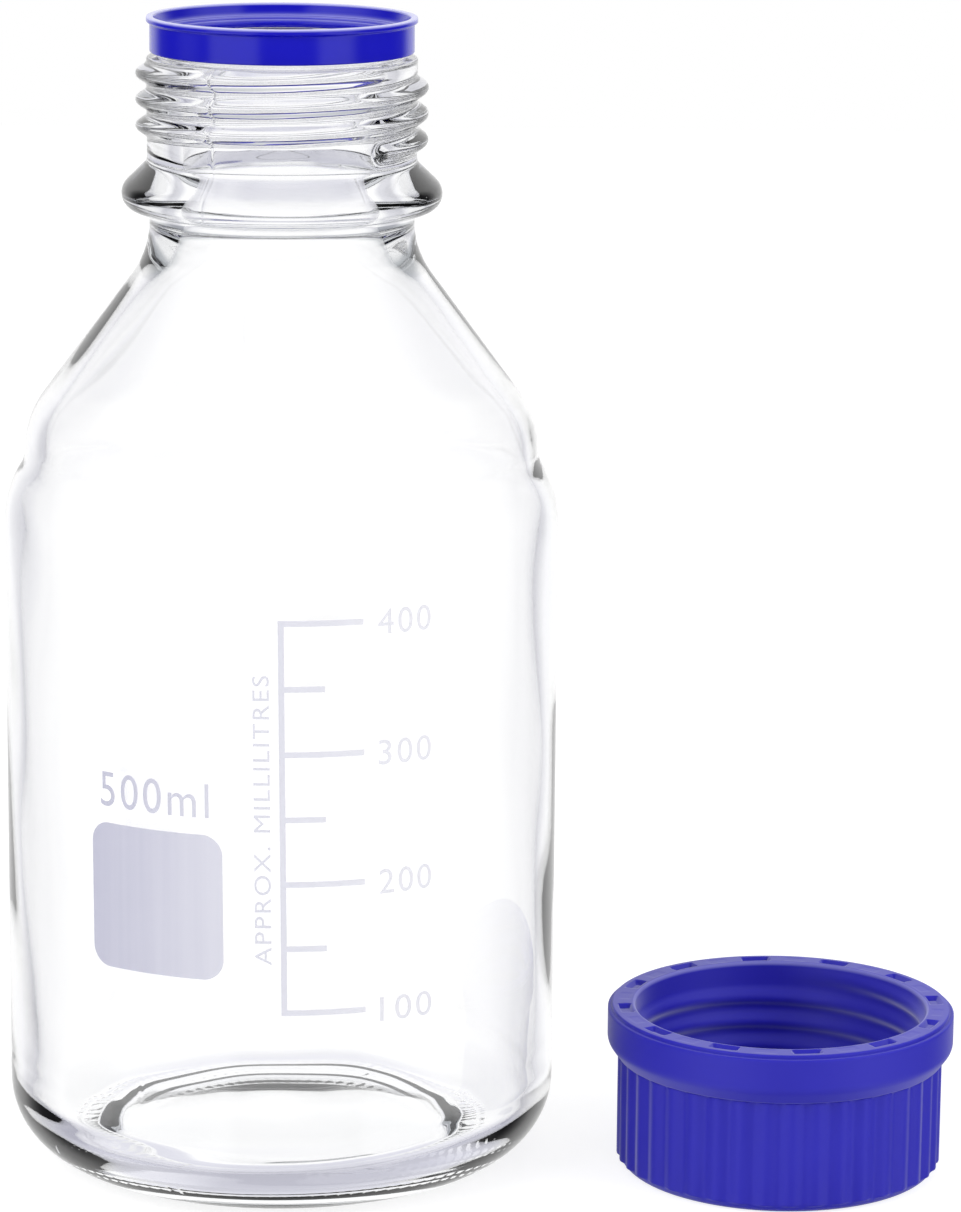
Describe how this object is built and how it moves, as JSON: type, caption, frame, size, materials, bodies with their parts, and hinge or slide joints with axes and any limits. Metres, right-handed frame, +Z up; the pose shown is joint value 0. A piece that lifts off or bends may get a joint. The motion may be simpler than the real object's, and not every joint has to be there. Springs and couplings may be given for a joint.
{
  "type": "laboratory media bottle",
  "caption": "Clear glass laboratory bottle with a sloped shoulder, a threaded neck with a blue pouring ring, and a blue ribbed screw cap taken off and set down beside it.",
  "frame": {"origin": "middle of the bottle's foot ring, in the plane that the bottle and the cap stand on", "axes": "+Z up along the bottle's own axis, out through the neck; +X from the bottle towards the cap that lies beside it; the printed scale faces -Y"},
  "size_m": [0.1487, 0.086, 0.1795],
  "materials": {
    "clear_glass": "clear blown glass, fire-polished",
    "ring_plastic": "glossy blue moulded polypropylene",
    "cap_plastic": "satin blue moulded polypropylene",
    "enamel_print": "fired white enamel, slightly see-through"
  },
  "bodies": {
    "root": {"media_bottle": "clear_glass", "pouring_ring": "ring_plastic", "screw_cap": "cap_plastic"}
  },
  "joints": []
}
